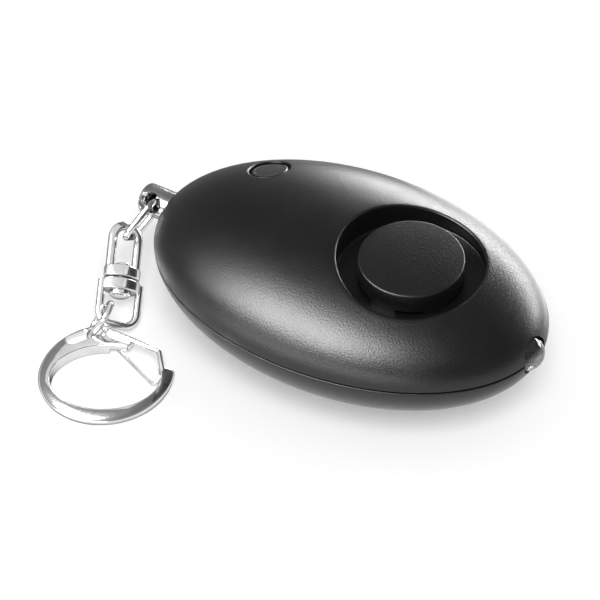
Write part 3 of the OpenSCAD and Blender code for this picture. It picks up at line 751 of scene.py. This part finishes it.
finishPiece("lampLens", makeLens(), "case", clearLens, ["led_lens"])
finishPiece("lampCup", makeCup(), "case", dullTin)
print("case done")


def makePullPin():
    r, edge, end, tip, thin = pin["radius"], pin["edge"], pin["end"], pin["tip"], pin["tipRadius"]
    shoulder = tip - pin["tipLong"]
    profile = [(0, end), (r * pin["flat"], end)]
    profile += [(r - edge + edge * math.sin(a), end + edge - edge * math.cos(a)) for a in quarter(6)]
    profile += [(r, end + pin["collar"]), (r, shoulder), (thin, shoulder + pin["taper"]),
                (thin, tip - pin["point"]), (thin / 2, tip), (0, tip)]
    return spinProfile(profile, seamMid, 96)


holeMid = Vector((pinHole["at"], 0, egg["seam"]))


# knife for the cross hole, wider at both mouths
def pinKnife():
    lean = math.radians(pinHole["lean"])
    h, r, reach = pinHole["radius"], pin["radius"], pinHole["reach"]
    half = [(h, r - pinHole["deep"]), (h + pinHole["neck"], r - pinHole["neckDeep"]),
            (h + pinHole["mouth"], r + pinHole["above"]), (h + pinHole["mouth"], reach), (0, reach)]
    profile = [(across, -up) for across, up in reversed(half)] + half
    return spinProfile(profile, holeMid, 72, (0, -math.cos(lean), math.sin(lean)), (1, 0, 0))


pullPin = cutAway(makePullPin(), [pinKnife()])
finishPiece("pullPin", pullPin, "pin", pinPlate, ["pull_pin"], sharp=30)

# chain: the same leans and lengths as the solids
chain = {
    "bar1": (0.2719, -0.6948, 0.6658), "way1": (-0.3196, -0.7178, -0.6186), "bar2": (0.342, -0.94, 0),
    "way2": (0.512, 0.186, 0.839), "wire": 0.55, "long1": 7.6, "wide1": 3.4, "long2": 7.0, "wide2": 1.9,
    "corner": 1.5, "slope": 28, "turn": -63.8, "roll": 31, "hang": 1.4, "slack": 0.1, "eyeShift": 0.9}
upper = {"wire": 0.75, "half": 2.25, "long": 7.3, "plateHalf": 3.12, "plateDeep": 2.1}
lower = {"wire": 0.65, "half": 3.3, "long": 5.7, "corner": 2.2, "plateHalf": 3.3, "plateDeep": 2.2}
plates = {"thick": 1.95, "gap": 0.3, "edge": 0.35, "bite": 0.4}
rivet = {"shank": 0.9, "head": 1.25, "crown": ((0, 0.75), (0.9, 0.72), (1.15, 0.6), (1.25, 0.4)),
         "clear": 0.05, "foot": 1.75, "footEdge": 0.4, "dome": 0.75}
ringSet = {"radius": 11.19, "thick": 2.4, "long": 9, "short": 7.2, "at": (0.91, -1.57), "turn": 24,
           "pivot": (-4.5, 6.9), "rim": 0.42, "steps": 168, "outside": 16, "from": 33.5, "to": -272.5,
           "blend": 4.5, "endShare": 0.55, "lean": 0.3, "leanFrom": 172, "leanOver": 24, "side": 0.74,
           "sideLean": 0.12, "underLean": 0.6}
block = {"from": 60, "to": 137.5, "shelfTo": 121, "shelf": 0.96, "side": 0.45, "back": 0.75, "lobe": 0.8}
slot = {"turn": 150, "at": 9, "half": 1.35, "long": 2, "edge": 0.2, "near": 0.03, "rimFrom": 0.6,
        "from": -2, "tall": 6, "least": 0.001}
gate = {"wire": 0.42, "corner": 0.75, "pivotBend": 0.05, "above": 0.03, "below": 0.05, "clear": 0.12,
        "knee": (5.6, 7.1), "hook": (8.55, 4.0), "hookShare": 0.8, "heel": (8.05, 2.2), "endUp": 0.6,
        "endLow": 0.5, "hookTurn": -12, "hookRoom": 0.65}


# frame with x along one way and y near another
def lay(origin, way, near):
    x = Vector(way).normalized()
    z = x.cross(Vector(near)).normalized()
    return Matrix.Translation(origin) @ Matrix((x, z.cross(x), z)).transposed().to_4x4()


way1, way2, bar2 = (Vector(chain[k]) for k in ("way1", "way2", "bar2"))
slope, turn, roll = (math.radians(chain[k]) for k in ("slope", "turn", "roll"))
swivelWay = Vector((math.cos(slope) * math.cos(turn), math.cos(slope) * math.sin(turn), -math.sin(slope)))
levelWay = Vector((-math.sin(turn), math.cos(turn), 0))
swivelSide = levelWay * math.cos(roll) - swivelWay.cross(levelWay) * math.sin(roll)
hang, w = chain["hang"], upper["half"]
shackleTop = (holeMid + way1 * (chain["long1"] - chain["wire"] - upper["wire"] - chain["slack"])
              - swivelSide * hang - swivelWay * (w - math.sqrt(w * w - hang * hang)))
plate1 = upper["long"]
plate2 = plate1 + plates["thick"] + plates["gap"]
swivelEnd = plate2 + plates["thick"] + lower["long"]
cornerIn = lower["corner"] * (1 - math.cos(math.pi / 4))
hookPoint = shackleTop + swivelWay * (swivelEnd - cornerIn) - swivelSide * (lower["half"] - cornerIn)
eyeHeight = chain["wire"] + chain["slack"]
link2Low = hookPoint - way2 * ((hookPoint.z - eyeHeight) / way2.z)
slotTurn = math.radians(slot["turn"])
slotWay = Vector((math.cos(slotTurn), math.sin(slotTurn), 0))
slotAlong = Vector((slotWay.y, -slotWay.x, 0))
inEye = (link2Low + bar2 * chain["wide2"] + way2 * ((ringSet["thick"] / 2 - eyeHeight) / way2.z)
         - slotAlong * chain["eyeShift"])
ringMid = Vector((inEye.x - slotWay.x * slot["at"], inEye.y - slotWay.y * slot["at"], 0))


def makeLink(origin, way, bar, long, wide):
    bm = bendWire([(0, -wide, 0), (long, -wide, 0), (long, wide, 0), (0, wide, 0)], [chain["corner"]],
                  chain["wire"], closed=True)
    bmesh.ops.transform(bm, matrix=lay(origin, way, bar), verts=bm.verts)
    return bm


upperLink = makeLink(holeMid, way1, chain["bar1"], chain["long1"], chain["wide1"])
finishPiece("upperLink", upperLink, "upper_link", brightPlate, ["link_1"])
lowerLink = makeLink(link2Low, way2, bar2, chain["long2"], chain["wide2"])
finishPiece("lowerLink", lowerLink, "lower_link", brightPlate, ["link_2"])


def makePlate(at, half, deep):
    bm = roundBar((at, 0, 0), (at + plates["thick"], 0, 0), half, sides=96)
    bmesh.ops.scale(bm, vec=(1, 1, deep / half), verts=bm.verts)
    softenEdges(bm, lambda edge: True, plates["edge"], segments=5)
    return bm


def joinShapes(shapes):
    whole = bmesh.new()
    for shape in shapes:
        mesh = bpy.data.meshes.new("joining")
        shape.to_mesh(mesh)
        shape.free()
        whole.from_mesh(mesh)
        bpy.data.meshes.remove(mesh)
    return whole


# a bow of wire, its ends in an oval plate
def makeShackle(part, corner, plateAt, bottom):
    top, half = plateAt + plates["bite"], part["half"]
    points = [(top, -half, 0), (bottom, -half, 0), (bottom, half, 0), (top, half, 0)]
    bow = bendWire(points, [corner], part["wire"])
    bm = joinShapes([bow, makePlate(plateAt, part["plateHalf"], part["plateDeep"])])
    bmesh.ops.transform(bm, matrix=lay(shackleTop, swivelWay, swivelSide), verts=bm.verts)
    return bm


upperShackle = makeShackle(upper, upper["half"], plate1, 0)
finishPiece("upperShackle", upperShackle, "swivel_top", brightPlate, ["upper_shackle"],
            sharp=35)
lowerShackle = makeShackle(lower, lower["corner"], plate2, swivelEnd)
finishPiece("lowerShackle", lowerShackle, "swivel_bottom", brightPlate, ["lower_shackle"],
            sharp=35)


def makeRivet():
    top, low = plate1 - rivet["clear"], plate2 + plates["thick"]
    dome, foot, shank = low + rivet["footEdge"], rivet["foot"], rivet["shank"]
    profile = [(r, plate1 - up) for r, up in rivet["crown"]]
    profile += [(rivet["head"], top), (shank, top), (shank, low + rivet["clear"]),
                (foot, low + rivet["clear"]), (foot, dome)]
    profile += [(foot * math.cos(a), dome + rivet["dome"] * math.sin(a)) for a in quarter(8, 1)[:-1]]
    profile.append((0, dome + rivet["dome"]))
    bm = spinProfile(profile, (0, 0, 0), 48)
    bmesh.ops.transform(bm, matrix=lay(shackleTop, swivelWay, swivelSide), verts=bm.verts)
    return bm


finishPiece("swivelRivet", makeRivet(), "swivel_top", brightPlate, ["swivel_rivet"],
            sharp=35)


# cast ring, lofted from its nose round to the block that carries the gate
def makeKeyRing():
    thick, rim = ringSet["thick"], ringSet["rim"]
    lobeMid = slotWay * slot["at"] + slotAlong * slot["long"]
    lobe = slot["half"] + block["lobe"]
    backEdge = ringSet["pivot"][1] + block["back"]

    # the opening is an oval, off the middle and turned
    def inner(angle):
        a = math.radians(ringSet["turn"])
        way = Vector((math.cos(angle - a) / ringSet["long"], math.sin(angle - a) / ringSet["short"]))
        x, y = -ringSet["at"][0], -ringSet["at"][1]
        start = Vector(((x * math.cos(a) + y * math.sin(a)) / ringSet["long"],
                        (-x * math.sin(a) + y * math.cos(a)) / ringSet["short"]))
        along = start.dot(way)
        return (-along + math.sqrt(along * along - way.dot(way) * (start.dot(start) - 1))) / way.dot(way)

    # the outside is round, but for the block's straight back and the lobe round the slot
    def outer(angle):
        deg = math.degrees(angle) % 360
        if deg > block["to"] or deg < block["from"]:
            return ringSet["radius"]
        way = Vector((math.cos(angle), math.sin(angle), 0))
        reach = backEdge / math.sin(angle)
        along = way.dot(lobeMid)
        room = along * along - lobeMid.dot(lobeMid) + lobe * lobe
        if room > 0:
            reach = max(reach, along + math.sqrt(room))
        return min(reach, ringSet["radius"])

    def section(angle):
        a, b = inner(angle), outer(angle)
        deg = math.degrees(angle) % 360
        lean = 1.0
        if deg >= block["from"]:
            lean = min(1, max(0, (deg - ringSet["leanFrom"]) / ringSet["leanOver"]))
        inBlock = block["from"] < deg < block["to"]
        side = (b - a) * (block["side"] if inBlock else ringSet["side"] + lean * ringSet["sideLean"])
        bow = 1 + lean * ringSet["lean"]  # one is a round shoulder, more a straighter slope
        low = block["shelf"] if block["from"] < deg < block["shelfTo"] else 0.0
        tall = (thick - low) / 2
        # inner lower edge, inner upper edge, then the rounded outside
        points = [(a + rim - rim * math.sin(t), low + rim - rim * math.cos(t)) for t in quarter(4)]
        points += [(a + rim - rim * math.cos(t), thick - rim + rim * math.sin(t)) for t in quarter(4)]
        for share in shares(ringSet["outside"]):
            t = share * math.pi
            across, up = math.sin(t) ** bow, abs(math.cos(t)) ** bow
            reach = side if share <= 0.5 else side * (1 - ringSet["underLean"] * lean)
            points.append((b - reach + reach * across, low + tall + math.copysign(tall * up, math.cos(t))))
        return points

    def place(angle, shrink):
        points = section(angle)
        midR = sum(p[0] for p in points) / len(points)
        midZ = sum(p[1] for p in points) / len(points)

        def spot(n):
            r, z = points[int(n)]
            r = midR + (r - midR) * shrink
            return Vector((math.cos(angle) * r, math.sin(angle) * r, midZ + (z - midZ) * shrink))
        return spot

    start, end, blend = ringSet["from"], ringSet["to"], ringSet["blend"]
    degrees = [start - blend * (1 - math.cos(a)) for a in quarter(5)[:-1]]
    degrees += [start - blend + (end - start + 2 * blend) * s for s in shares(ringSet["steps"])]
    degrees += [end + blend * (1 - math.sin(a)) for a in quarter(5, 1)]

    # both ends are rounded off
    def shrink(deg):
        off = max(0, blend - min(start - deg, deg - end)) / blend
        return ringSet["endShare"] + (1 - ringSet["endShare"]) * math.sqrt(max(0, 1 - off * off))

    spots = [place(math.radians(deg), shrink(deg)) for deg in degrees]
    return capEnds(*loft(len(section(math.radians(start))), spots))


def slotKnife():
    bm = bmesh.new()
    bmesh.ops.create_circle(bm, cap_ends=True, segments=64, radius=slot["half"])
    for vert in bm.verts:
        vert.co.y += math.copysign(slot["long"], vert.co.y) if abs(vert.co.y) > slot["least"] else 0
    grown = bmesh.ops.extrude_face_region(bm, geom=bm.faces[:])["geom"]
    bmesh.ops.translate(bm, verts=vertsOf(grown), vec=(0, 0, slot["tall"]))
    bmesh.ops.recalc_face_normals(bm, faces=bm.faces)
    spot = Matrix.Translation(slotWay * slot["at"] + Vector((0, 0, slot["from"])))
    bmesh.ops.transform(bm, matrix=spot @ Matrix.Rotation(slotTurn, 4, "Z"), verts=bm.verts)
    return bm


def boxKnife(low, high, spot, turn):
    bm = bmesh.new()
    low, high = Vector(low), Vector(high)
    seat = Matrix.Translation((*spot, 0)) @ Matrix.Rotation(math.radians(turn), 4, "Z")
    box = Matrix.Translation((low + high) / 2) @ Matrix.Diagonal((*(high - low), 1))
    bmesh.ops.create_cube(bm, size=1, matrix=seat @ box)
    return bm


# room under the slot for the link, and a notch and a step for the gate's hook
eyeRoom = {"low": (slot["at"], -slot["long"] - 1.6, -2),
           "high": (20, slot["long"] + 0.6, 2 * chain["wire"] + 0.25),
           "spot": (0, 0), "turn": slot["turn"]}
atHook = {"spot": gate["hook"], "turn": gate["hookTurn"]}
room = gate["hookRoom"]
hookNotch = {"low": (-room, -5, -1), "high": (room, room, 5), **atHook}
hookStep = {"low": (-2.3, -2.4, ringSet["thick"] * 0.56), "high": (room, 2.6, 5), **atHook}
ringKnives = [slotKnife()] + [boxKnife(**cut) for cut in (eyeRoom, hookNotch, hookStep)]
keyRing = cutAway(makeKeyRing(), ringKnives)


def onSlotRim(edge):
    def reach(point):
        over = max(0, abs(point.dot(slotAlong)) - slot["long"])
        return abs(math.hypot(point.dot(slotWay) - slot["at"], over) - slot["half"])

    high = ringSet["thick"] * slot["rimFrom"]
    return all(reach(v.co) < slot["near"] and v.co.z > high for v in edge.verts)


print("slot rim", softenEdges(keyRing, onSlotRim, slot["edge"]), "edges")
bmesh.ops.translate(keyRing, verts=keyRing.verts, vec=ringMid)
finishPiece("keyRing", keyRing, "ring", castPlate, ["key_ring"], sharp=35)


def makeGate():
    pivot, wire, corner = ringSet["pivot"], gate["wire"], gate["corner"]
    top, low = ringSet["thick"] + wire + gate["above"], wire + gate["below"]
    room = 2 * wire + gate["clear"]
    atPivot = wire + gate["pivotBend"]
    points = [(*pivot, room + gate["endUp"]), (*pivot, top), (*gate["knee"], top),
              (*gate["hook"], ringSet["thick"] * gate["hookShare"]), (*gate["heel"], low), (*pivot, low),
              (*pivot, room + gate["endLow"])]
    bm = bendWire(points, [atPivot, corner, corner, corner, atPivot], wire, sides=20)
    bmesh.ops.translate(bm, verts=bm.verts, vec=ringMid)
    return bm


finishPiece("gateWire", makeGate(), "gate", brightPlate, ["gate_wire"], sharp=45)
print("chain done")

# the solids that stay take their finishes
kept = {
    "battery_cover": blackCase, "cover_screw": zincScrew, "case_screws": zincScrew,
    "sounder_seat": blackRubber, "piezo_plate": brassSheet, "piezo_ceramic": whiteCeramic,
    "sounder_wires": redWire, "circuit_board": greenBoard, "driver_chip": blackResin,
    "drive_transistor": blackResin, "coil_core": greyFerrite, "coil_winding": copperWire,
    "push_switch": blackResin, "switch_plunger": greyNylon, "led_frame": cellSteel,
    "coin_cell_lower": cellSteel, "coin_cell_upper": cellSteel, "negative_spring": brassSheet,
    "positive_clip": brassSheet, "contact_block": creamNylon, "fixed_contact": brassSheet,
    "moving_contact": brassSheet}
for node, material in kept.items():
    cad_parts[node].data.materials.clear()
    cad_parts[node].data.materials.append(material)
print("inner parts done")

# floor, world and lamps
studio = {"floorSize": 6.0, "fibreScale": 60, "floorTone": 0.8, "floorFleck": 0.01, "floorLift": 0.33,
          "sideTone": 0.22, "sideTo": 0.3, "topTone": 0.15, "topFrom": 0.62, "fill": 0.46}
card = {"x": -0.6, "y": 0.8, "from": 0.02, "to": 0.05, "dark": 0.65}
bm = bmesh.new()
bmesh.ops.create_grid(bm, x_segments=1, y_segments=1, size=studio["floorSize"] / 2)
floorMesh = bpy.data.meshes.new("floor")
bm.to_mesh(floorMesh)
bm.free()
floor = bpy.data.objects.new("floor", floorMesh)
bpy.context.scene.collection.objects.link(floor)
floorPaper, paint = newPaint("floorPaper")
fibre = paint.noise(studio["fibreScale"], detail=2)
pale = studio["floorTone"]
paper = paint.add("BsdfDiffuse", {}, {
    "Color": paint.blend(fibre, grey(pale), grey(pale + studio["floorFleck"]), low=0.3, high=0.7)})
lift = paint.add("Emission", {}, {"Color": grey(1), "Strength": studio["floorLift"]})
lit = paint.add("AddShader", {}, {0: paper, 1: lift})
# in the gloss the floor is white, with a grey card lying behind the tail
x, y = paint.ways("XY")
carded = paint.add("MapRange", {"interpolation_type": "SMOOTHSTEP"}, {
    "Value": y * card["y"] + x * card["x"], "From Min": card["from"], "From Max": card["to"],
    "To Max": card["dark"]})
glossTone = paint.mix(carded, grey(1), grey(0))
white = paint.add("Emission", {}, {"Color": glossTone, "Strength": 1.0})
ray, shiny, through = paint.rays()
seen = paint.add("MixShader", {}, {0: ray, 1: paper, 2: lit})
paint.close(paint.add("MixShader", {}, {0: shiny + through, 1: seen, 2: white}))
floorMesh.materials.append(floorPaper)

world = bpy.data.worlds.new("studio")
bpy.context.scene.world = world
world.use_nodes = True
paint = Paint(world.node_tree)
way = paint.add("TexCoord", {}, {}, "Generated")
height = paint.add("SeparateXYZ", {}, {"Vector": way}, "Z")
tone = paint.blend(height, grey(studio["sideTone"]), grey(studio["topTone"]),
                   low=studio["sideTo"], high=studio["topFrom"])
seenSky = paint.add("Background", {}, {"Color": tone, "Strength": 1.0})
fillSky = paint.add("Background", {}, {"Color": grey(1), "Strength": studio["fill"]})
ray, shiny, through = paint.rays()
seen = paint.add("Math", {"operation": "ADD", "use_clamp": True}, {0: ray + shiny, 1: through})
sky = paint.add("MixShader", {}, {0: seen, 1: fillSky, 2: seenSky})
paint.add("OutputWorld", {}, {"Surface": sky})

# boxes and cards show in the gloss alone, the sky lamp gives the even light and the soft shadow
lamps = {
    "frontBox": {"at": (-0.199, -0.390, 0.438), "aim": (0, 0, 0.015), "size": (0.56, 0.36), "power": 12.0},
    "backPanel": {"at": (0.015, 0.80, 0.105), "aim": (0, 0, 0.02), "size": (0.97, 0.2), "power": 9.8},
    "lowPanel": {"at": (-0.035, -0.197, 0.021), "aim": (0, 0, 0.014), "size": (0.27, 0.04), "power": 0.17},
    "backGlow": {"at": (0.014, 0.09, 0.001), "aim": (0.014, 0.09, 1), "size": (0.062, 0.12),
                 "power": 0.062},
    "ringCard": {"at": (-0.036, -0.019, 0.012), "aim": (-0.036, -0.019, 0), "size": (0.032, 0.026),
                 "power": 0.0016},
    "skyLamp": {"at": (0.41, -0.46, 0.98), "aim": (0, 0, 0), "size": (0.5, 0.5), "power": 7.4, "even": True}}
for name, lampSet in lamps.items():
    data = bpy.data.lights.new(name, "AREA")
    data.shape = "RECTANGLE"
    data.size, data.size_y = lampSet["size"]
    data.energy = lampSet["power"]
    light = bpy.data.objects.new(name, data)
    light.location = lampSet["at"]
    aim = Vector(lampSet["aim"]) - Vector(lampSet["at"])
    light.rotation_euler = aim.to_track_quat("-Z", "Y").to_euler()
    light.visible_diffuse = lampSet.get("even", False)
    light.visible_glossy = not light.visible_diffuse
    bpy.context.scene.collection.objects.link(light)
print("studio done")
